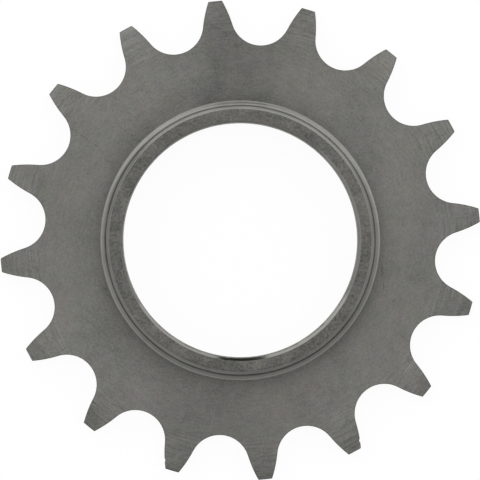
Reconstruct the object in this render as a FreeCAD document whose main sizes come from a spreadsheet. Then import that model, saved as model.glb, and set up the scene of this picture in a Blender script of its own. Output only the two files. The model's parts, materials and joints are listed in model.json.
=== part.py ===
import FreeCAD, Part
import math
import os

import Sketcher

# Track sprocket: one solid piece of steel, turned to its section and then cut with round-seated teeth.
# It lies on its plain back face at z = 0, with the collar on +Z, the bore on the Z axis
# and one tooth centred on +X. All lengths are millimetres.

DRIVING_SIZES = (
    # Toothed rim for a half-inch roller chain
    ("chain_pitch", 12.7, "from the centre of one chain roller to the next"),
    ("roller_gap", 4.19, "clear space between two rollers, where a tooth goes"),
    ("tooth_count", 16, "teeth round the rim"),
    ("seat_clearance", 0.04255, "room round a roller in its seat"),
    ("flank_ratio", 0.12, "flank radius over roller diameter and tooth count plus two"),
    ("seat_angle_limit", 140, "seat angle in degrees that a straight rack would have"),
    ("seat_angle_drop", 90, "degrees that the seat angle loses, divided by the tooth count"),
    ("tooth_addendum", 2.17, "tooth tip above the pitch circle"),
    ("tip_corner_radius", 0.12, "rounding where a flank meets the tip"),
    ("side_radius", 12.7, "arc that thins the tooth on both faces"),
    ("side_relief", 0.56, "thinning of each face at the tip"),
    ("edge_break", 0.08, "chamfer that breaks the outline's edges on both faces"),
    # Turned body
    ("plate_thickness", 3.0, "toothed plate, for an eighth-inch wide chain"),
    ("collar_height", 4.0, "collar above the plate's front face"),
    ("collar_wall", 1.9, "collar outside the mouth of the bore"),
    ("collar_chamfer", 0.43, "chamfer on the collar's outer edge"),
    ("foot_fillet", 0.88, "hollow rounding between collar and plate"),
    # Bore, cut to the inside diameter of its 1.37 inch by 24 per inch thread
    ("bore_diameter", 33.85, "crests of the thread"),
    ("thread_height", 0.475, "from the thread's crests out to its roots"),
    ("lead_in_depth", 0.27, "countersink at both ends, which opens the bore out to the thread's roots"),
)

PITCH_RADIUS = "sizes.chain_pitch / (2 * sin(180 deg / sizes.tooth_count))"
TIP_RADIUS = PITCH_RADIUS + " + sizes.tooth_addendum"
BEYOND_TIPS = PITCH_RADIUS + " + 2 * sizes.tooth_addendum"  # where a gap is closed, outside the tip circle
SEAT_RADIUS = "(sizes.chain_pitch - sizes.roller_gap) / 2 + sizes.seat_clearance"
FLANK_RADIUS = "sizes.flank_ratio * (sizes.chain_pitch - sizes.roller_gap) * (sizes.tooth_count + 2)"
SEAT_ANGLE = "(sizes.seat_angle_limit - sizes.seat_angle_drop / sizes.tooth_count) * 1 deg"
BORE_RADIUS = "sizes.bore_diameter / 2"
MOUTH_RADIUS = BORE_RADIUS + " + sizes.thread_height"
COLLAR_RADIUS = MOUTH_RADIUS + " + sizes.collar_wall"
COLLAR_TOP = "sizes.plate_thickness + sizes.collar_height"

# How a sketch counts its elements and the places on them
START_INDEX, END_INDEX, CENTRE_INDEX = 1, 2, 3
X_AXIS_INDEX = -1
ORIGIN_INDEX = (-1, 1)
TOLERANCE = 1e-4  # for telling which edge is which


def make_sheet(doc):
    """Spreadsheet with one named cell for each driving size."""
    sheet = doc.addObject("Spreadsheet::Sheet", "sizes")
    for row, (alias, value, note) in enumerate(DRIVING_SIZES, start=1):
        sheet.set(f"A{row}", alias)
        sheet.set(f"B{row}", str(value))
        sheet.setAlias(f"B{row}", alias)
        sheet.set(f"C{row}", note)
    doc.recompute()
    return sheet


def origin_feature(body, role):
    """One of the body's own origin planes or axes."""
    return next(item for item in body.Origin.OriginFeatures if item.Role == role)


def new_sketch(body, name, plane):
    """Empty sketch on one of the body's origin planes."""
    sketch = body.newObject("Sketcher::SketchObject", name)
    sketch.AttachmentSupport = [(origin_feature(body, plane), "")]
    sketch.MapMode = "FlatFace"
    return sketch


def point(x, y):
    return FreeCAD.Vector(x, y, 0)


def add_line(sketch, first, second):
    return sketch.addGeometry(Part.LineSegment(first, second))


def add_arc(sketch, centre, radius, first_angle, last_angle):
    """Arc drawn counter-clockwise between two angles in radians."""
    circle = Part.Circle(centre, FreeCAD.Vector(0, 0, 1), radius)
    return sketch.addGeometry(Part.ArcOfCircle(circle, first_angle, last_angle))


def drive(sketch, name, expression, kind, *where):
    """Dimension that follows the spreadsheet: where ends with a starting value."""
    index = sketch.addConstraint(Sketcher.Constraint(kind, *where))
    sketch.renameConstraint(index, name)
    sketch.setExpression(f"Constraints.{name}", expression)


def join(sketch, kind, first, second):
    """Coincident or Tangent constraint between two (element, place) ends."""
    sketch.addConstraint(Sketcher.Constraint(kind, *first, *second))


def pitch_radius_now(size):
    """Radius of the circle through the centres of the chain's rollers."""
    return size.chain_pitch / (2 * math.sin(math.pi / size.tooth_count))


def seat_radius_now(size):
    """Radius of the seat that a roller drops into."""
    return (size.chain_pitch - size.roller_gap) / 2 + size.seat_clearance


def draw_half_section(sketch, size):
    """Half of the turned section: x is the radius, y is the height above the back face."""
    bore = size.bore_diameter / 2
    mouth = bore + size.thread_height
    sink = size.lead_in_depth
    collar = mouth + size.collar_wall
    chamfer = size.collar_chamfer
    foot = size.foot_fillet
    plate = size.plate_thickness
    top = plate + size.collar_height
    arc_radius = size.side_radius
    relief = size.side_relief
    tip = pitch_radius_now(size) + size.tooth_addendum
    relief_turn = math.acos(1 - relief / arc_radius)
    relief_start = tip - arc_radius * math.sin(relief_turn)

    back = add_line(sketch, point(mouth, 0), point(relief_start, 0))
    back_relief = add_arc(
        sketch, point(relief_start, arc_radius), arc_radius, -math.pi / 2, relief_turn - math.pi / 2
    )
    rim = add_line(sketch, point(tip, relief), point(tip, plate - relief))
    front_relief = add_arc(
        sketch, point(relief_start, plate - arc_radius), arc_radius, math.pi / 2 - relief_turn, math.pi / 2
    )
    front = add_line(sketch, point(relief_start, plate), point(collar + foot, plate))
    hollow = add_arc(
        sketch, point(collar + foot, plate + foot), foot, math.pi, 1.5 * math.pi
    )
    wall = add_line(sketch, point(collar, plate + foot), point(collar, top - chamfer))
    slope = add_line(sketch, point(collar, top - chamfer), point(collar - chamfer, top))
    face = add_line(sketch, point(collar - chamfer, top), point(mouth, top))
    front_sink = add_line(sketch, point(mouth, top), point(bore, top - sink))
    bore_wall = add_line(sketch, point(bore, top - sink), point(bore, sink))
    back_sink = add_line(sketch, point(bore, sink), point(mouth, 0))

    for flat in (back, front, face):
        sketch.addConstraint(Sketcher.Constraint("Horizontal", flat))
    for upright in (rim, wall, bore_wall):
        sketch.addConstraint(Sketcher.Constraint("Vertical", upright))
    join(sketch, "Tangent", (back, END_INDEX), (back_relief, START_INDEX))
    join(sketch, "Coincident", (back_relief, END_INDEX), (rim, START_INDEX))
    join(sketch, "Coincident", (rim, END_INDEX), (front_relief, START_INDEX))
    join(sketch, "Tangent", (front_relief, END_INDEX), (front, START_INDEX))
    join(sketch, "Tangent", (front, END_INDEX), (hollow, END_INDEX))
    join(sketch, "Tangent", (hollow, START_INDEX), (wall, START_INDEX))
    corners = (wall, slope, face, front_sink, bore_wall, back_sink, back)
    for before, after in zip(corners, corners[1:]):
        join(sketch, "Coincident", (before, END_INDEX), (after, START_INDEX))
    sketch.addConstraint(Sketcher.Constraint("PointOnObject", back, START_INDEX, X_AXIS_INDEX))
    sketch.addConstraint(Sketcher.Constraint("Vertical", back, START_INDEX, face, END_INDEX))
    sketch.addConstraint(Sketcher.Constraint("Equal", back_relief, front_relief))

    across, up = "DistanceX", "DistanceY"
    drive(sketch, "mouth_radius", MOUTH_RADIUS, across, *ORIGIN_INDEX, back, START_INDEX, mouth)
    drive(sketch, "tip_radius", TIP_RADIUS, across, *ORIGIN_INDEX, rim, START_INDEX, tip)
    drive(sketch, "side_arc", "sizes.side_radius", "Radius", back_relief, arc_radius)
    drive(sketch, "back_thinning", "sizes.side_relief", up, back, END_INDEX, rim, START_INDEX, relief)
    drive(sketch, "front_thinning", "sizes.side_relief", up, rim, END_INDEX, front, START_INDEX, relief)
    drive(sketch, "plate", "sizes.plate_thickness", up, *ORIGIN_INDEX, front, START_INDEX, plate)
    drive(sketch, "foot", "sizes.foot_fillet", "Radius", hollow, foot)
    drive(sketch, "collar_radius", COLLAR_RADIUS, across, *ORIGIN_INDEX, wall, START_INDEX, collar)
    drive(sketch, "collar_top", COLLAR_TOP, up, *ORIGIN_INDEX, face, START_INDEX, top)
    drive(sketch, "chamfer_in", "sizes.collar_chamfer", across, face, START_INDEX, wall, END_INDEX, chamfer)
    drive(sketch, "chamfer_down", "sizes.collar_chamfer", up, wall, END_INDEX, face, START_INDEX, chamfer)
    drive(sketch, "bore_radius", BORE_RADIUS, across, *ORIGIN_INDEX, bore_wall, START_INDEX, bore)
    drive(sketch, "front_lead_in", "sizes.lead_in_depth", up, bore_wall, START_INDEX, face, END_INDEX, sink)
    drive(sketch, "back_lead_in", "sizes.lead_in_depth", up, back, START_INDEX, bore_wall, END_INDEX, sink)


def draw_tooth_gap(sketch, size):
    """Gap between two teeth, centred on the sketch's x axis: a roller seat and two convex flanks."""
    pitch_radius = pitch_radius_now(size)
    seat_radius = seat_radius_now(size)
    roller = size.chain_pitch - size.roller_gap
    flank_radius = size.flank_ratio * roller * (size.tooth_count + 2)
    seat_angle = math.radians(size.seat_angle_limit - size.seat_angle_drop / size.tooth_count)
    opening = pitch_radius + 2 * size.tooth_addendum
    seat_half = seat_angle / 2
    flank_x = pitch_radius - (seat_radius + flank_radius) * math.cos(seat_half)
    flank_y = (seat_radius + flank_radius) * math.sin(seat_half)
    flank_end = math.acos((opening - flank_x) / flank_radius)
    opening_half = flank_y - flank_radius * math.sin(flank_end)

    seat = add_arc(
        sketch, point(pitch_radius, 0), seat_radius, math.pi - seat_half, math.pi + seat_half
    )
    upper = add_arc(sketch, point(flank_x, flank_y), flank_radius, -seat_half, -flank_end)
    lower = add_arc(sketch, point(flank_x, -flank_y), flank_radius, flank_end, seat_half)
    closing = add_line(sketch, point(opening, opening_half), point(opening, -opening_half))

    join(sketch, "Tangent", (seat, START_INDEX), (upper, START_INDEX))
    join(sketch, "Tangent", (seat, END_INDEX), (lower, END_INDEX))
    join(sketch, "Coincident", (upper, END_INDEX), (closing, START_INDEX))
    join(sketch, "Coincident", (closing, END_INDEX), (lower, START_INDEX))
    sketch.addConstraint(Sketcher.Constraint("PointOnObject", seat, CENTRE_INDEX, X_AXIS_INDEX))
    sketch.addConstraint(Sketcher.Constraint("Vertical", seat, START_INDEX, seat, END_INDEX))
    sketch.addConstraint(Sketcher.Constraint("Vertical", closing))
    sketch.addConstraint(Sketcher.Constraint("Equal", upper, lower))

    across = "DistanceX"
    drive(sketch, "pitch_radius", PITCH_RADIUS, across, *ORIGIN_INDEX, seat, CENTRE_INDEX, pitch_radius)
    drive(sketch, "seat_radius", SEAT_RADIUS, "Radius", seat, seat_radius)
    drive(sketch, "seat_angle", SEAT_ANGLE, "Angle", seat, seat_angle)
    drive(sketch, "flank_radius", FLANK_RADIUS, "Radius", upper, flank_radius)
    drive(sketch, "opening", BEYOND_TIPS, across, *ORIGIN_INDEX, closing, START_INDEX, opening)


def stands_up(edge):
    """True for a straight edge parallel to Z."""
    ends = [vertex.Point for vertex in (edge.Vertexes[0], edge.Vertexes[-1])]
    return math.dist(ends[0][:2], ends[1][:2]) < TOLERANCE < abs(ends[0].z - ends[1].z)


def tip_corners(shape, tip_radius):
    """Names of the upright edges where the flanks meet the tip circle."""
    names = []
    for index, edge in enumerate(shape.Edges, start=1):
        corner = edge.Vertexes[0].Point
        if stands_up(edge) and abs(math.hypot(corner.x, corner.y) - tip_radius) < TOLERANCE:
            names.append(f"Edge{index}")
    return names


def tilt_at(face, place):
    """How far the face's normal at a place leans out of the level, from 0 to 1."""
    return abs(face.normalAt(*face.Surface.parameter(place)).z)


def outline_edges(shape, root_radius):
    """Names of the edges between the toothed wall and the front or the back."""
    names = []
    for index, edge in enumerate(shape.Edges, start=1):
        middle = edge.valueAt((edge.FirstParameter + edge.LastParameter) / 2)
        if stands_up(edge) or math.hypot(middle.x, middle.y) < root_radius - TOLERANCE:
            continue
        tilts = [tilt_at(face, middle) for face in shape.ancestorsOfType(edge, Part.Face)]
        if min(tilts) < TOLERANCE < max(tilts):
            names.append(f"Edge{index}")
    return names


def make_sprocket(doc, size):
    """The whole sprocket: turned blank, tooth gaps, rounded tips and broken edges."""
    body = doc.addObject("PartDesign::Body", "sprocket")
    body.Label = "sprocket"

    section = new_sketch(body, "half_section", "XZ_Plane")
    draw_half_section(section, size)
    blank = body.newObject("PartDesign::Revolution", "turned_blank")
    blank.Profile = section
    blank.ReferenceAxis = (section, ["V_Axis"])
    blank.Angle = 360
    doc.recompute()
    blank_volume = blank.Shape.Volume

    gap = new_sketch(body, "tooth_gap", "XY_Plane")
    gap.setExpression(".AttachmentOffset.Rotation.Angle", "180 deg / sizes.tooth_count")
    draw_tooth_gap(gap, size)
    cut = body.newObject("PartDesign::Pocket", "gap_cut")
    cut.Profile = gap
    cut.Type = "ThroughAll"
    cut.Midplane = True
    doc.recompute()

    teeth = body.newObject("PartDesign::PolarPattern", "teeth")
    teeth.Originals = [cut]
    teeth.Axis = (origin_feature(body, "Z_Axis"), [""])
    teeth.Angle = 360
    teeth.setExpression("Occurrences", "sizes.tooth_count")
    body.Tip = teeth
    doc.recompute()
    print(f"blank {blank_volume:.2f} mm3, with one gap {cut.Shape.Volume:.2f} mm3,",
          f"with all gaps {teeth.Shape.Volume:.2f} mm3")
    if not teeth.Shape.Volume < cut.Shape.Volume < blank_volume:
        raise RuntimeError("the tooth gaps cut nothing")

    pitch_radius = pitch_radius_now(size)
    tips = body.newObject("PartDesign::Fillet", "tip_corners")
    tips.Base = (teeth, tip_corners(teeth.Shape, pitch_radius + size.tooth_addendum))
    tips.setExpression("Radius", "sizes.tip_corner_radius")
    body.Tip = tips
    doc.recompute()

    root_radius = pitch_radius - seat_radius_now(size)
    breaks = body.newObject("PartDesign::Chamfer", "edge_breaks")
    breaks.Base = (tips, outline_edges(tips.Shape, root_radius))
    breaks.setExpression("Size", "sizes.edge_break")
    body.Tip = breaks
    doc.recompute()
    print("tip edges", len(tips.Base[1]), "outline edges", len(breaks.Base[1]))
    return body


def check_objects(doc):
    """Stop with a plain message if anything in the document failed."""
    for item in doc.Objects:
        if "Invalid" in item.State or "Error" in item.State:
            raise RuntimeError(f"{item.Name} failed: {item.State}")
        if item.TypeId == "Sketcher::SketchObject" and not item.FullyConstrained:
            raise RuntimeError(f"{item.Name} is not fully constrained")


def export(parts):
    """Write each piece to a file that carries its label."""
    for piece in parts:
        if piece.Shape.isNull() or not piece.Shape.isValid():
            raise RuntimeError(f"{piece.Label} has no valid shape")
    os.makedirs("parts", exist_ok=True)
    for piece in parts:
        piece.Shape.exportStep(f"parts/{piece.Label}.step")
        box = piece.Shape.optimalBoundingBox(True, False)
        print(f"{piece.Label}: {len(piece.Shape.Solids)} solid, {piece.Shape.Volume:.2f} mm3,",
              f"{box.XLength:.3f} x {box.YLength:.3f} x {box.ZLength:.3f} mm")


doc = FreeCAD.newDocument("track_sprocket")
sizes = make_sheet(doc)
sprocket = make_sprocket(doc, sizes)
sprocket.Placement = FreeCAD.Placement()
doc.recompute()
check_objects(doc)
export([sprocket])
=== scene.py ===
import json
from math import atan2, ceil, cos, pi, radians, sin, sqrt

import bmesh
import bpy
from mathutils import Matrix, Vector


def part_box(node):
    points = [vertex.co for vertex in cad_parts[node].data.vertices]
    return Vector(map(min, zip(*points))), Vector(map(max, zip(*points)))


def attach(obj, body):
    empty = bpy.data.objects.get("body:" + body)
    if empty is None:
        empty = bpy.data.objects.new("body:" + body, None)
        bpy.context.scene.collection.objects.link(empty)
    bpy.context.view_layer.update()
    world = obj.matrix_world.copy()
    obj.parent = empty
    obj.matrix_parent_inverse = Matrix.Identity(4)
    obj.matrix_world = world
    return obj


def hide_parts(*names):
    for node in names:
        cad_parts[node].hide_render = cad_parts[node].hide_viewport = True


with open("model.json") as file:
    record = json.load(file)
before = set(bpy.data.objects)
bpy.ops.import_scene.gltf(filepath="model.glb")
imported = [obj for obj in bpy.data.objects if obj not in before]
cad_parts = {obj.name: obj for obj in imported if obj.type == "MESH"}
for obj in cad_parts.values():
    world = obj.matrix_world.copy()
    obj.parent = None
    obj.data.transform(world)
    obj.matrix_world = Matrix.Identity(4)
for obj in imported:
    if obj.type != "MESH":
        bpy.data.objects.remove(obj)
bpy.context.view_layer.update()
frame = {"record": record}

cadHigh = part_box("sprocket")[1]
mounts = {mount["name"]: mount for mount in frame["record"]["mounts"]}
mm = 0.001  # meshes are modelled in millimetres and scaled at the end
near = 1e-3  # mm within which points count as one
sharpAngle = radians(25)  # edges bent less than this are shaded smooth
origin = Vector((0, 0, 0))
yAxis = Vector((0, 1, 0))
zAxis = Vector((0, 0, 1))

frameRoll = 6  # degrees the photo's frame is turned from the tooth on +X

# Each face of the steel carries one of these finishes
finishOrder = ["ground", "collarFace", "turned", "countersink", "thread", "cut", "edge"]

# Sizes the tooth form is worked out from, in mm
tooth = {
    "count": mounts["chain_seats"]["dims"]["count"],
    "pitchRadius": mounts["chain_seats"]["dims"]["pcd_mm"] / 2,
    "tipRadius": cadHigh.x / mm,
    "roller": 8.51,  # diameter of the chain's rollers
    "seatRadius": 4.2975,
    "seatAngle": radians(140 - 90 / 16),  # falls from 140 degrees by 90 over the number of teeth
    "flankRatio": 0.12,  # of the roller times the teeth plus two
    "cornerRadius": 0.12,
    "sideArc": 12.7,
    "sideRelief": 0.56,
    "edgeBreak": 0.07,
    "edgeSegments": 3,
    "seatSteps": 12,  # per half gap
    "flankSteps": 12,
    "cornerSteps": 3,
    "tipSteps": 3,
    "bodyRing": 27.2,  # circle inside the roots where the toothed mesh meets the round one
    "faceRings": 16,  # cuts from that circle out to the tips
    "rimAngle": 1.0,  # edges bent by more radians than this are broken
}

# The turned parts, in mm
collar = {
    "plate": 3.0,
    "top": cadHigh.z / mm,
    "outside": 19.3,
    "chamfer": 0.43,
    "foot": 0.88,
    "mouth": 17.4,  # of both countersinks, and the roots of the thread
    "bore": mounts["hub_thread"]["dims"]["r_mm"],
    "sink": 0.27,  # depth of the countersinks
    "edgeBreak": 0.035,
    "edgeSegments": 3,
    "steps": 256,  # once round
    "footSteps": 16,
}

# How the front countersink differs from the back one in the photo, in mm
frontSink = {
    "azimuth": 338,  # direction it lies off centre, by the photo's frame
    "offCentre": 0.108,
    "shrink": 0.12,  # of the mouth's radius
    "rise": 0.25,  # share of the depth it falls short by
}

# Hub thread, 24 turns to the inch, right-handed
thread = {
    "pitch": 25.4 / 24,
    "start": 0.5,  # share of a pitch by which the first turn is lowered
    "crest": 0.33,  # flat left on the crests
    "root": 0.17,  # flat left at the roots
    "rounding": 0.04,  # of the corners between flats and flanks
    "roundSegments": 1,
    "sinkCuts": 5,  # extra cuts of the profile where the countersinks cross it
}


def lastVert(result):
    return [item for item in result["geom_last"] if isinstance(item, bmesh.types.BMVert)][0]


def arcFrom(bm, vert, centre, angle, steps, axis=zAxis):
    # sweeps a vertex round a centre, which leaves a chain of edges behind it
    swept = bmesh.ops.spin(bm, geom=[vert], cent=centre, axis=axis, angle=angle, steps=steps,
                           use_merge=False, use_duplicate=False)
    return lastVert(swept)


def lineTo(bm, vert, place):
    new = bmesh.ops.extrude_vert_indiv(bm, verts=[vert])["verts"][0]
    new.co = place
    return new


def polar(radius, angle, z=0.0):
    return Vector((radius * cos(angle), radius * sin(angle), z))


def fromPhoto(azimuth):
    # an azimuth in degrees from the photo's right, as an angle from the tooth on +X
    return radians(azimuth - frameRoll)


def turn(start, end):
    # signed angle from one flat direction to another
    return atan2(start.x * end.y - start.y * end.x, start.x * end.x + start.y * end.y)


def setFinish(faces, name):
    for face in faces:
        face.material_index = finishOrder.index(name)


def toothOutline(bm):
    # half a gap and half a tooth from arcs, mirrored, then repeated round the rim
    half = pi / tooth["count"]
    seat = polar(tooth["pitchRadius"], half)
    root = bm.verts.new(polar(tooth["pitchRadius"] - tooth["seatRadius"], half))
    seatEnd = arcFrom(bm, root, seat, tooth["seatAngle"] / 2, tooth["seatSteps"])

    flankRadius = tooth["flankRatio"] * tooth["roller"] * (tooth["count"] + 2)
    outward = (seatEnd.co - seat).normalized()
    flank = seat + outward * (tooth["seatRadius"] + flankRadius)
    # corner circle: inside the flank circle and inside the tip circle
    toFlank = flankRadius - tooth["cornerRadius"]
    toCentre = tooth["tipRadius"] - tooth["cornerRadius"]
    apart = flank.length
    along = (toCentre ** 2 - toFlank ** 2 + apart ** 2) / (2 * apart)
    aside = sqrt(toCentre ** 2 - along ** 2)
    direction = flank.normalized()
    corner = direction * along + zAxis.cross(direction) * aside
    flankEnd = arcFrom(bm, seatEnd, flank, turn(-outward, corner - flank), tooth["flankSteps"])
    cornerEnd = arcFrom(bm, flankEnd, corner, turn(corner - flank, corner), tooth["cornerSteps"])
    arcFrom(bm, cornerEnd, origin, turn(corner, Vector((1, 0, 0))), tooth["tipSteps"])

    bmesh.ops.mirror(bm, geom=bm.verts[:] + bm.edges[:], axis="Y", merge_dist=near)
    repeats = tooth["count"] - 1
    bmesh.ops.spin(bm, geom=bm.verts[:] + bm.edges[:], cent=origin, axis=zAxis,
                   angle=2 * pi * repeats / tooth["count"], steps=repeats, use_duplicate=True)
    bmesh.ops.remove_doubles(bm, verts=bm.verts, dist=near)


def sweepLoop(bm, edges, place, finish):
    # makes faces from a loop of edges to where place puts its points, and gives back the loop there
    swept = bmesh.ops.extrude_edge_only(bm, edges=edges)["geom"]
    verts = {item for item in swept if isinstance(item, bmesh.types.BMVert)}
    for vert in verts:
        vert.co = place(vert.co)
    setFinish([item for item in swept if isinstance(item, bmesh.types.BMFace)], finish)
    return [item for item in swept if isinstance(item, bmesh.types.BMEdge) and verts.issuperset(item.verts)]


def relief(radius):
    # how far each face of a tooth has dropped at this radius
    start = tooth["tipRadius"] - sqrt(tooth["sideArc"] ** 2 - (tooth["sideArc"] - tooth["sideRelief"]) ** 2)
    past = max(radius - start, 0)
    return tooth["sideArc"] - sqrt(tooth["sideArc"] ** 2 - past ** 2)


def makePlate(bm):
    toothOutline(bm)
    lowLoop = bm.edges[:]
    highLoop = sweepLoop(bm, lowLoop, lambda at: at + zAxis * collar["plate"], "cut")
    # both faces run straight in from the outline to a circle
    for loop in (lowLoop, highLoop):
        sweepLoop(bm, loop, lambda at: polar(tooth["bodyRing"], atan2(at.y, at.x), at.z), "ground")
    bmesh.ops.recalc_face_normals(bm, faces=bm.faces)
    rims = [edge for edge in bm.edges if edge.is_manifold and edge.calc_face_angle() > tooth["rimAngle"]]
    made = bmesh.ops.bevel(bm, geom=rims, offset=tooth["edgeBreak"], offset_type="OFFSET", profile=0.5,
                           segments=tooth["edgeSegments"], affect="EDGES", material=-1)
    setFinish(made["faces"], "edge")
    across = []
    for edge in bm.edges:
        reach = sorted(vert.co.xy.length for vert in edge.verts)
        if reach[0] < tooth["bodyRing"] + near < reach[1]:
            across.append(edge)
    bmesh.ops.subdivide_edges(bm, edges=across, cuts=tooth["faceRings"], use_grid_fill=True)
    for vert in bm.verts:
        drop = relief(vert.co.xy.length)
        vert.co.z += drop if vert.co.z < collar["plate"] / 2 else -drop


def makeCollar(bm):
    # section from the plate's front up over the collar to the mouth of the bore, spun once round
    footCentre = Vector((collar["outside"] + collar["foot"], 0, collar["plate"] + collar["foot"]))
    start = bm.verts.new((footCentre.x, 0, collar["plate"]))
    wallFoot = arcFrom(bm, start, footCentre, pi / 2, collar["footSteps"], yAxis)
    wallTop = lineTo(bm, wallFoot, (collar["outside"], 0, collar["top"] - collar["chamfer"]))
    faceEdge = lineTo(bm, wallTop, (collar["outside"] - collar["chamfer"], 0, collar["top"]))
    lineTo(bm, faceEdge, (collar["mouth"], 0, collar["top"]))
    bmesh.ops.bevel(bm, geom=[wallTop, faceEdge], offset=collar["edgeBreak"], offset_type="OFFSET",
                    segments=collar["edgeSegments"], profile=0.5, affect="VERTICES", material=-1)
    bmesh.ops.spin(bm, geom=bm.verts[:] + bm.edges[:], cent=origin, axis=zAxis, angle=2 * pi,
                   steps=collar["steps"], use_merge=True)
    setFinish(bm.faces, "turned")
    flat = [face for face in bm.faces if face.calc_center_median().z > collar["top"] - near]
    setFinish(flat, "collarFace")


def coneRadius(z):
    # the countersinks open from the bore to the mouth at both ends
    slope = (collar["mouth"] - collar["bore"]) / collar["sink"]
    return collar["mouth"] - min(z, collar["top"] - z) * slope


def makeThread(bm):
    # one pitch of the thread's section, wound once round, stacked past both ends of the bore
    # and then trimmed to the countersinks
    flankRun = (thread["pitch"] - thread["crest"] - thread["root"]) / 2
    crest = bm.verts.new((collar["bore"], 0, -thread["pitch"] * (1 + thread["start"])))
    vert = lineTo(bm, crest, (collar["bore"], 0, crest.co.z + thread["crest"]))
    vert = lineTo(bm, vert, (collar["mouth"], 0, vert.co.z + flankRun))
    vert = lineTo(bm, vert, (collar["mouth"], 0, vert.co.z + thread["root"]))
    lineTo(bm, vert, (collar["bore"], 0, vert.co.z + flankRun))
    inner = [item for item in bm.verts if len(item.link_edges) == 2]
    bmesh.ops.bevel(bm, geom=inner, offset=thread["rounding"], offset_type="OFFSET", profile=0.5,
                    segments=thread["roundSegments"], affect="VERTICES", material=-1)
    bmesh.ops.spin(bm, geom=bm.verts[:] + bm.edges[:], cent=origin, axis=zAxis, angle=2 * pi,
                   steps=collar["steps"], dvec=(0, 0, thread["pitch"] / collar["steps"]))
    oneTurn = bm.verts[:] + bm.edges[:] + bm.faces[:]
    for level in range(1, ceil(collar["top"] / thread["pitch"]) + 2):
        copied = bmesh.ops.duplicate(bm, geom=oneTurn)["geom"]
        verts = [item for item in copied if isinstance(item, bmesh.types.BMVert)]
        bmesh.ops.translate(bm, verts=verts, vec=(0, 0, level * thread["pitch"]))
    bmesh.ops.remove_doubles(bm, verts=bm.verts, dist=near)

    def crossesSink(edge):
        first, last = (vert.co for vert in edge.verts)
        low, high = sorted((first.z, last.z))
        sameAzimuth = abs(first.x * last.y - first.y * last.x) < near
        atBack = low < collar["sink"] and high > 0
        atFront = low < collar["top"] and high > collar["top"] - collar["sink"]
        return sameAzimuth and (atBack or atFront)

    crossing = [edge for edge in bm.edges if crossesSink(edge)]
    bmesh.ops.subdivide_edges(bm, edges=crossing, cuts=thread["sinkCuts"], use_grid_fill=True)
    for vert in bm.verts:
        z = min(max(vert.co.z, 0), collar["top"])
        radius = max(vert.co.xy.length, coneRadius(z))
        flat = vert.co.xy.normalized() * radius
        vert.co = (flat.x, flat.y, z)
    bmesh.ops.remove_doubles(bm, verts=bm.verts, dist=near)
    bmesh.ops.dissolve_degenerate(bm, edges=bm.edges, dist=near / 10)
    setFinish(bm.faces, "thread")

    def onCone(vert):
        return vert.co.xy.length < coneRadius(vert.co.z) + near

    setFinish([face for face in bm.faces if all(onCone(vert) for vert in face.verts)], "countersink")


# Nicks, placed by the photo's frame: azimuth in degrees from its right, radius and sizes in mm
nicks = [
    {"azimuth": 172.6, "radius": 18.62, "z": 7.0,
     "along": 0.5, "across": 0.12, "depth": 0.1, "push": "down"},
    {"azimuth": 300.9, "radius": 33.7, "z": None,
     "along": 0.3, "across": 0.3, "depth": 0.13, "push": "clockwise"},
    {"azimuth": 251.2, "radius": 33.5, "z": None,
     "along": 0.3, "across": 0.3, "depth": 0.13, "push": "anticlockwise"},
]
nickMesh = {"margins": (3, 1.5), "cuts": 2}  # how far out, in nick sizes, the mesh is made finer
outOfReach = 99


def makeNick(bm, nick):
    radial = polar(1, fromPhoto(nick["azimuth"]))
    tangent = zAxis.cross(radial)
    centre = radial * nick["radius"]
    push = {"down": -zAxis, "clockwise": -tangent, "anticlockwise": tangent}[nick["push"]]

    def reach(vert):
        # 1 at the rim of the nick; one with no height goes right through
        offset = vert.co - centre
        if nick["z"] is not None and abs(vert.co.z - nick["z"]) > nick["across"]:
            return outOfReach
        return Vector((offset.dot(tangent) / nick["along"], offset.dot(radial) / nick["across"])).length

    for margin in nickMesh["margins"]:
        close = {vert for vert in bm.verts if reach(vert) < margin}
        edges = [edge for edge in bm.edges if close.issuperset(edge.verts)]
        bmesh.ops.subdivide_edges(bm, edges=edges, cuts=nickMesh["cuts"], use_grid_fill=True)
    for vert in bm.verts:
        depth = nick["depth"] * max(1 - reach(vert) ** 2, 0)
        vert.co += push * depth


def circleEdges(bm, radius, z):
    def onCircle(vert):
        return abs(vert.co.z - z) < near and abs(vert.co.xy.length - radius) < near

    return [edge for edge in bm.edges if edge.is_boundary and all(onCircle(vert) for vert in edge.verts)]


def moveFrontSink(bm):
    start = collar["top"] - collar["sink"]
    shift = polar(frontSink["offCentre"], fromPhoto(frontSink["azimuth"]))
    for vert in bm.verts:
        if vert.co.z > start and vert.co.xy.length < collar["mouth"] + near:
            share = (vert.co.z - start) / collar["sink"]
            radial = polar(1, atan2(vert.co.y, vert.co.x))
            vert.co += (shift - radial * frontSink["shrink"]) * share
            vert.co.z += (collar["top"] - vert.co.z) * frontSink["rise"]


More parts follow.
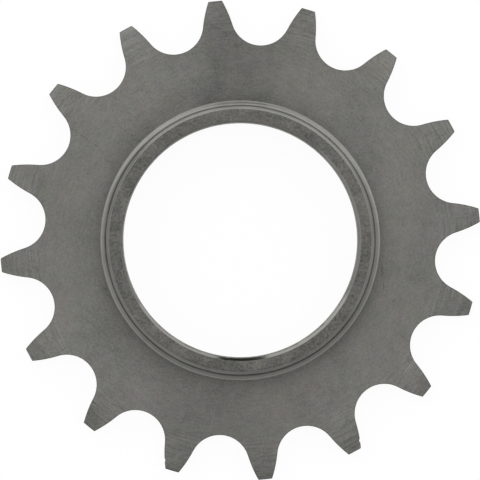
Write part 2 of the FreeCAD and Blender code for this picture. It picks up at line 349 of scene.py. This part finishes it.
def makeSprocket():
    bm = bmesh.new()
    for make in (makePlate, makeCollar, makeThread):
        part = bmesh.new()
        make(part)
        mesh = bpy.data.meshes.new("part")
        part.to_mesh(mesh)
        part.free()
        bm.from_mesh(mesh)
        bpy.data.meshes.remove(mesh)
    # front: toothed plate to collar foot; back: toothed plate to the mouth of the bore
    for inner, z in ((collar["outside"] + collar["foot"], collar["plate"]), (collar["mouth"], 0)):
        loops = circleEdges(bm, tooth["bodyRing"], z) + circleEdges(bm, inner, z)
        filled = bmesh.ops.triangle_fill(bm, edges=loops, use_beauty=True, normal=zAxis)["geom"]
        setFinish([item for item in filled if isinstance(item, bmesh.types.BMFace)], "ground")
    bmesh.ops.remove_doubles(bm, verts=bm.verts, dist=near)
    moveFrontSink(bm)
    for nick in nicks:
        makeNick(bm, nick)
    bmesh.ops.recalc_face_normals(bm, faces=bm.faces)
    for face in bm.faces:
        face.smooth = True
    for edge in bm.edges:
        sameFinish = len({face.material_index for face in edge.link_faces}) == 1
        edge.smooth = sameFinish and edge.is_manifold and edge.calc_face_angle() < sharpAngle
    gaps = sum(not edge.is_manifold for edge in bm.edges)
    bmesh.ops.scale(bm, vec=(mm, mm, mm), verts=bm.verts)
    mesh = bpy.data.meshes.new("turnedSprocket")
    bm.to_mesh(mesh)
    bm.free()
    piece = bpy.data.objects.new("turnedSprocket", mesh)
    bpy.context.scene.collection.objects.link(piece)
    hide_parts("sprocket")
    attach(piece, "root")
    triangles = sum(len(face.vertices) - 2 for face in mesh.polygons)
    print("sprocket made:", triangles, "triangles,", gaps, "open edges")
    return piece


sprocket = makeSprocket()

# The camera looks straight down, as the photo's did
photoScale = 6.929  # pixels of the photo to a millimetre
view = {
    "sensorWidth": 36,
    "distance": 0.70,  # above the plate's front face
    "frameWidth": 480 / photoScale * mm,  # what the frame spans there
    "roll": radians(frameRoll),
    "shiftRight": 0.24 / photoScale * mm,  # object centre in the frame, from the frame's centre
    "shiftDown": 0.26 / photoScale * mm,
}
right = Vector((cos(view["roll"]), -sin(view["roll"]), 0))
up = Vector((sin(view["roll"]), cos(view["roll"]), 0))
cameraData = bpy.data.cameras.new("camera")
cameraData.sensor_width = view["sensorWidth"]
cameraData.lens = cameraData.sensor_width * view["distance"] / view["frameWidth"]
camera = bpy.data.objects.new("camera", cameraData)
camera.location = (-right * view["shiftRight"] + up * view["shiftDown"]
                   + zAxis * (collar["plate"] * mm + view["distance"]))
camera.rotation_euler = (0, 0, -view["roll"])
bpy.context.scene.collection.objects.link(camera)
bpy.context.scene.camera = camera

# Studio: azimuths run from the frame's right towards its top, in degrees; sizes in metres
studio = {
    "world": 0.66,
    "floorColour": 0.9,
    "floorWhite": 0.95,  # share of plain white that the camera and reflections see
    "floorSize": 6.0,
    "cardRoughness": 0.9,
    "lamps": [
        {"name": "overheadStrip", "azimuth": 90, "elevation": 90,
         "distance": 1.2, "size": (1.35, 0.5), "level": 0.68},
        {"name": "leftSoftbox", "azimuth": 119, "elevation": 46,
         "distance": 1.0, "size": (0.85, 1.2), "level": 1.1},
        {"name": "rightSoftbox", "azimuth": 62, "elevation": 47,
         "distance": 1.0, "size": (1.1, 1.2), "level": 0.9},
        {"name": "rearStrip", "azimuth": 82, "elevation": 10,
         "distance": 1.2, "size": (3.2, 0.4), "level": 1.15},
        {"name": "leftFill", "azimuth": 182, "elevation": 35,
         "distance": 1.0, "size": (1.5, 0.5), "level": 0.4},
        {"name": "rightFill", "azimuth": 8, "elevation": 20,
         "distance": 1.0, "size": (0.9, 0.7), "level": 0.3},
    ],
    "flags": [  # dark cards, seen only in reflections
        {"name": "gapFlag", "azimuth": 90, "elevation": 48,
         "distance": 0.9, "size": (0.29, 0.7), "tone": 0.06},
        {"name": "frontFlag", "azimuth": 290, "elevation": 5,
         "distance": 0.9, "size": (1.2, 0.3), "tone": 0.3},
    ],
}


def addNode(tree, kind, inputs=None, **settings):
    made = tree.nodes.new(kind)
    for name, value in settings.items():
        setattr(made, name, value)
    for name, value in (inputs or {}).items():
        if isinstance(value, bpy.types.NodeSocket):
            tree.links.new(value, made.inputs[name])
        else:
            made.inputs[name].default_value = value
    return made


def calc(tree, operation, first, second=0.0, third=0.0):
    return addNode(tree, "ShaderNodeMath", {0: first, 1: second, 2: third}, operation=operation).outputs[0]


def placing(item):
    # stands an item off in its direction, turned to face the sprocket
    azimuth = radians(item["azimuth"])
    elevation = radians(item["elevation"])
    level = right * cos(azimuth) + up * sin(azimuth)
    direction = level * cos(elevation) + zAxis * sin(elevation)
    turned = direction.to_track_quat("Z", "Y").to_matrix().to_4x4()
    return Matrix.Translation(direction * item["distance"]) @ turned


def addLamp(lamp):
    data = bpy.data.lights.new(lamp["name"], "AREA")
    data.shape = "RECTANGLE"
    data.size = lamp["size"][0]
    data.size_y = lamp["size"][1]
    data.energy = lamp["level"] * pi * data.size * data.size_y
    made = bpy.data.objects.new(lamp["name"], data)
    made.matrix_world = placing(lamp)
    made.visible_camera = False
    bpy.context.scene.collection.objects.link(made)


def stageSheet(name, matrix, material):
    # a flat sheet of unit half width, shaped and placed by its matrix
    bm = bmesh.new()
    bmesh.ops.create_grid(bm, x_segments=1, y_segments=1, size=1, matrix=matrix)
    mesh = bpy.data.meshes.new(name)
    bm.to_mesh(mesh)
    bm.free()
    sheet = bpy.data.objects.new(name, mesh)
    bpy.context.scene.collection.objects.link(sheet)
    sheet.data.materials.append(material)
    return sheet


def makeFlag(flag):
    felt = bpy.data.materials.new(flag["name"] + "Card")
    felt.use_nodes = True
    shader = felt.node_tree.nodes["Principled BSDF"]
    shader.inputs["Base Color"].default_value = (flag["tone"], flag["tone"], flag["tone"], 1)
    shader.inputs["Roughness"].default_value = studio["cardRoughness"]
    width, height = flag["size"]
    card = stageSheet(flag["name"], placing(flag) @ Matrix.Diagonal((width / 2, height / 2, 1, 1)), felt)
    card.visible_camera = False
    card.visible_shadow = False


def makeFloor():
    paper = bpy.data.materials.new("whitePaper")
    paper.use_nodes = True
    tree = paper.node_tree
    tree.nodes.clear()
    tone = studio["floorColour"]
    lit = addNode(tree, "ShaderNodeBsdfDiffuse", {"Color": (tone, tone, tone, 1)})
    white = addNode(tree, "ShaderNodeEmission", {"Color": (1, 1, 1, 1), "Strength": 1.0})
    path = addNode(tree, "ShaderNodeLightPath")
    seen = calc(tree, "MAXIMUM", path.outputs["Is Camera Ray"], path.outputs["Is Glossy Ray"])
    seen = calc(tree, "MAXIMUM", seen, path.outputs["Is Transmission Ray"])
    share = calc(tree, "MULTIPLY", seen, studio["floorWhite"])
    mixed = addNode(tree, "ShaderNodeMixShader", {0: share, 1: lit.outputs[0], 2: white.outputs[0]})
    addNode(tree, "ShaderNodeOutputMaterial", {"Surface": mixed.outputs[0]})
    stageSheet("floor", Matrix.Scale(studio["floorSize"] / 2, 4), paper)


world = bpy.data.worlds.new("studio")
bpy.context.scene.world = world
world.use_nodes = True
grey = studio["world"]
world.node_tree.nodes["Background"].inputs["Color"].default_value = (grey, grey, grey, 1)
makeFloor()
for flag in studio["flags"]:
    makeFlag(flag)
for lamp in studio["lamps"]:
    addLamp(lamp)
print("studio made")

# Finishes; sizes of the marks in mm, those round the axis as measured at this radius
markRadius = 28
quarterTurn = 0.25
# tone and rough say how strongly a layer of marks changes colour and roughness, depth its relief,
# tint how far its colours stray from grey, keep how rare its scratches are, beyond where it starts
finishes = {
    "ground": {
        "colour": (0.1625, 0.1605, 0.1495),
        "roughness": 0.45,
        "anisotropy": 0.85,
        # foot: painted shade, darker towards the collar's foot
        "foot": {"radius": 20.3, "fade": 1.2, "tone": -0.15},
        "layers": [
            {"around": 1.2, "across": 0.3, "detail": 3, "tone": 0.45, "rough": 0.1, "depth": 0.003},
            {"size": 0.3, "detail": 2, "tone": 0.75, "rough": 0.1, "depth": 0.002},
            {"size": 1.5, "detail": 2, "tone": 0.36, "rough": 0.1},
            {"size": 7.0, "detail": 3, "tone": 0.62, "rough": 0.1, "tint": 0.05},
            {"size": 1.8, "detail": 1, "tint": 0.08},
            {"around": 4.0, "across": 0.15, "detail": 1, "tone": 0.8, "depth": 0.002, "beyond": 28.5},
            {"angle": 28, "long": 9.0, "wide": 0.12, "keep": 0.63, "tone": -1.5},
            {"angle": 75, "long": 6.0, "wide": 0.1, "keep": 0.63, "tone": 1.8},
            {"angle": 145, "long": 8.0, "wide": 0.12, "keep": 0.63, "tone": -1.5},
        ],
    },
    "collarFace": {
        "colour": (0.113, 0.111, 0.1025),
        "roughness": 0.5,
        "anisotropy": 0.2,
        # rim: painted shade on one side, darker towards the collar face's rim
        "rim": {"radius": 18.87, "fade": 0.15, "azimuth": 262, "tone": -0.5},
        "layers": [
            {"around": 0.3, "across": 1.4, "detail": 2, "tone": 0.6, "rough": 0.1, "depth": 0.002},
            {"size": 0.35, "detail": 3, "tone": 1.7, "rough": 0.2, "depth": 0.003},
            {"size": 1.5, "detail": 2, "tone": 0.7, "tint": 0.12},
            {"size": 5.0, "detail": 1, "tone": 0.5},
        ],
    },
    "turned": {
        "colour": (0.206, 0.203, 0.19),
        "roughness": 0.34,
        "anisotropy": 0.3,
        "layers": [
            {"around": 6.0, "across": 0.12, "detail": 2, "tone": 0.3, "rough": 0.15, "depth": 0.001},
            {"size": 1.5, "detail": 3, "tone": 0.3, "rough": 0.1, "tint": 0.1},
        ],
    },
    "countersink": {
        "colour": (0.19, 0.187, 0.175),
        "roughness": 0.12,
        "anisotropy": 0.3,
        "layers": [
            {"around": 6.0, "across": 0.12, "detail": 2, "tone": 0.3, "rough": 0.1, "depth": 0.0005},
            {"size": 1.5, "detail": 3, "tone": 0.25, "rough": 0.05},
        ],
    },
    "thread": {
        "colour": (0.17, 0.168, 0.157),
        # grazing: reflections at grazing angles turned down, painted shade on the thread down the bore
        "grazing": 0.3,
        "roughness": 0.12,
        "anisotropy": 0.3,
        "layers": [
            {"around": 6.0, "across": 0.12, "detail": 2, "tone": 0.4, "rough": 0.1, "depth": 0.0005},
            {"size": 1.5, "detail": 3, "tone": 0.3, "rough": 0.05},
        ],
    },
    "cut": {
        "colour": (0.19, 0.187, 0.175),
        "roughness": 0.4,
        "anisotropy": 0.0,
        "layers": [
            {"around": 0.12, "across": 6.0, "detail": 2, "tone": 0.35, "rough": 0.15, "depth": 0.002},
            {"size": 1.0, "detail": 3, "tone": 0.25, "rough": 0.1, "depth": 0.002},
        ],
    },
    # edge: near black, painted shade along the broken edges round the teeth and plate
    "edge": {
        "colour": (0.065, 0.064, 0.06),
        "roughness": 0.5,
        "anisotropy": 0.0,
        "layers": [
            {"size": 0.6, "detail": 3, "tone": 0.8, "rough": 0.2},
        ],
    },
}

# Dark marks on the front beside the collar, placed by the photo's frame like the nicks; in mm
stainsAndPaintedShade = [
    # the first is a painted dark reflection, a wedge running out across the plate at the top; the next three
    # are painted shade beside the collar's foot; the last three are small dark marks
    {"azimuth": 98, "radius": 26.0, "angle": 93, "long": 6.5, "wide": 1.8, "tone": 0.12},
    {"azimuth": 110, "radius": 22.0, "angle": 20, "long": 7.0, "wide": 3.0, "tone": 0.16},
    {"azimuth": 130, "radius": 21.0, "angle": 40, "long": 7.0, "wide": 2.5, "tone": 0.15},
    {"azimuth": 150, "radius": 21.0, "angle": 60, "long": 6.0, "wide": 2.2, "tone": 0.1},
    {"azimuth": -12.6, "radius": 21.0, "angle": 90, "long": 1.2, "wide": 0.3, "tone": 0.3},
    {"azimuth": -17.7, "radius": 21.7, "angle": 93, "long": 1.0, "wide": 0.09, "tone": 0.4},
    {"azimuth": -21.6, "radius": 23.8, "angle": 42, "long": 0.5, "wide": 0.12, "tone": 0.5},
]


def vectorCalc(tree, operation, first, second=(0, 0, 0), third=(0, 0, 0), output="Vector"):
    made = addNode(tree, "ShaderNodeVectorMath", {0: first, 1: second, 2: third}, operation=operation)
    return made.outputs[output]


def scaleVector(tree, vector, factor):
    return addNode(tree, "ShaderNodeVectorMath", {0: vector, "Scale": factor}, operation="SCALE").outputs[0]


def flatten(tree, place):
    return vectorCalc(tree, "MULTIPLY", place, (1, 1, 0))


def radiusOf(tree, place):
    return vectorCalc(tree, "LENGTH", flatten(tree, place), output="Value")


def heightOf(tree, place):
    return addNode(tree, "ShaderNodeSeparateXYZ", {0: place}).outputs["Z"]


def turnedPlace(tree, place, around, across):
    # coordinates that run round the axis and out along the radius or up the walls, with no seam
    unit = vectorCalc(tree, "NORMALIZE", flatten(tree, place))
    spread = scaleVector(tree, unit, markRadius / around)
    step = calc(tree, "DIVIDE", calc(tree, "ADD", radiusOf(tree, place), heightOf(tree, place)), across)
    lift = addNode(tree, "ShaderNodeCombineXYZ", {"Z": step}).outputs[0]
    return vectorCalc(tree, "ADD", spread, lift)


def strokePlace(tree, place, centre, angle, long, wide):
    # coordinates measured along and across strokes that lie at an angle in the photo's frame
    rotation = (0, 0, fromPhoto(angle))
    inputs = {"Vector": place, "Location": centre, "Rotation": rotation, "Scale": (long, wide, 1)}
    return addNode(tree, "ShaderNodeMapping", inputs, vector_type="TEXTURE").outputs[0]


def layerMarks(tree, place, layer):
    # marks from -0.5 to 0.5, or for scratches from 0 up, and their colours
    vector = place
    scale = 1.0
    if "around" in layer:
        vector = turnedPlace(tree, place, layer["around"], layer["across"])
    elif "angle" in layer:
        vector = strokePlace(tree, place, origin, layer["angle"], layer["long"], layer["wide"])
    else:
        scale = 1 / layer["size"]
    detail = layer.get("detail", 1)
    noise = addNode(tree, "ShaderNodeTexNoise", {"Vector": vector, "Scale": scale, "Detail": detail})
    marks = calc(tree, "SUBTRACT", noise.outputs[0], layer.get("keep", 0.5))
    if "keep" in layer:
        marks = calc(tree, "MAXIMUM", marks, 0.0)
    if "beyond" in layer:
        start = calc(tree, "SUBTRACT", radiusOf(tree, place), layer["beyond"])
        marks = calc(tree, "MULTIPLY", marks, addNode(tree, "ShaderNodeClamp", {"Value": start}).outputs[0])
    return marks, noise.outputs[1]


def paintedFootShade(tree, place, foot):
    # painted shade: the front darkens towards the foot of the collar, where the collar shades it
    inward = calc(tree, "DIVIDE", calc(tree, "SUBTRACT", foot["radius"], radiusOf(tree, place)), foot["fade"])
    fall = calc(tree, "EXPONENT", calc(tree, "MINIMUM", inward, 0.0))
    onFront = calc(tree, "GREATER_THAN", heightOf(tree, place), collar["plate"] / 2)
    return calc(tree, "MULTIPLY", calc(tree, "MULTIPLY", fall, onFront), foot["tone"])


def paintedRimShade(tree, place, rim):
    # painted shade: one side of the collar's face darkens towards its rim
    inward = calc(tree, "DIVIDE", calc(tree, "SUBTRACT", radiusOf(tree, place), rim["radius"]), rim["fade"])
    side = polar(1 / rim["radius"], fromPhoto(rim["azimuth"]))
    facing = vectorCalc(tree, "DOT_PRODUCT", place, side, output="Value")
    share = calc(tree, "MULTIPLY", calc(tree, "EXPONENT", inward), calc(tree, "MAXIMUM", facing, 0.0))
    return calc(tree, "MULTIPLY", share, rim["tone"])


def stainAndPaintedShade(tree, place, darkPatch):
    # darkens a patch: painted shade and a painted dark reflection for the first four, small dark marks for
    # the rest
    centre = polar(darkPatch["radius"], fromPhoto(darkPatch["azimuth"]), collar["plate"])
    local = strokePlace(tree, place, centre, darkPatch["angle"], darkPatch["long"], darkPatch["wide"])
    away = vectorCalc(tree, "LENGTH", local, output="Value")
    inside = calc(tree, "MAXIMUM", calc(tree, "SUBTRACT", 1.0, away), 0.0)
    return calc(tree, "MULTIPLY", inside, -darkPatch["tone"])


def makeSteel(name, finish):
    material = bpy.data.materials.new(name + "Steel")
    material.use_nodes = True
    tree = material.node_tree
    shader = tree.nodes["Principled BSDF"]
    objectPlace = addNode(tree, "ShaderNodeTexCoord").outputs["Object"]
    place = scaleVector(tree, objectPlace, 1 / mm)
    tone = 1.0
    rough = finish["roughness"]
    height = 0.0
    colour = finish["colour"]
    for layer in finish["layers"]:
        marks, hues = layerMarks(tree, place, layer)
        if "tone" in layer:
            tone = calc(tree, "MULTIPLY_ADD", marks, layer["tone"], tone)
        if "rough" in layer:
            rough = calc(tree, "MULTIPLY_ADD", marks, layer["rough"], rough)
        if "depth" in layer:
            height = calc(tree, "MULTIPLY_ADD", marks, layer["depth"], height)
        if "tint" in layer:
            stray = layer["tint"]
            plain = 1 - stray / 2
            cast = vectorCalc(tree, "MULTIPLY_ADD", hues, (stray, stray, stray), (plain, plain, plain))
            colour = vectorCalc(tree, "MULTIPLY", colour, cast)
    if "foot" in finish:
        tone = calc(tree, "ADD", tone, paintedFootShade(tree, place, finish["foot"]))
        for darkPatch in stainsAndPaintedShade:
            tone = calc(tree, "ADD", tone, stainAndPaintedShade(tree, place, darkPatch))
    if "rim" in finish:
        tone = calc(tree, "ADD", tone, paintedRimShade(tree, place, finish["rim"]))
    bump = addNode(tree, "ShaderNodeBump", {"Strength": 1.0, "Distance": mm, "Height": height})
    # grooves run round the axis, and a quarter turn stretches the highlights across them
    around = vectorCalc(tree, "NORMALIZE", vectorCalc(tree, "CROSS_PRODUCT", place, (0, 0, 1)))
    tree.links.new(scaleVector(tree, colour, tone), shader.inputs["Base Color"])
    tree.links.new(rough, shader.inputs["Roughness"])
    tree.links.new(bump.outputs[0], shader.inputs["Normal"])
    tree.links.new(around, shader.inputs["Tangent"])
    # a lowered grazing tint dims reflections at grazing angles; on the thread it is painted shade in the bore
    grazing = finish.get("grazing", 1.0)
    shader.inputs["Specular Tint"].default_value = (grazing, grazing, grazing, 1)
    shader.inputs["Metallic"].default_value = 1
    shader.inputs["Anisotropic"].default_value = finish["anisotropy"]
    shader.inputs["Anisotropic Rotation"].default_value = quarterTurn
    return material


for name in finishOrder:
    sprocket.data.materials.append(makeSteel(name, finishes[name]))
print("finishes made")

bpy.context.scene.view_settings.view_transform = "Standard"
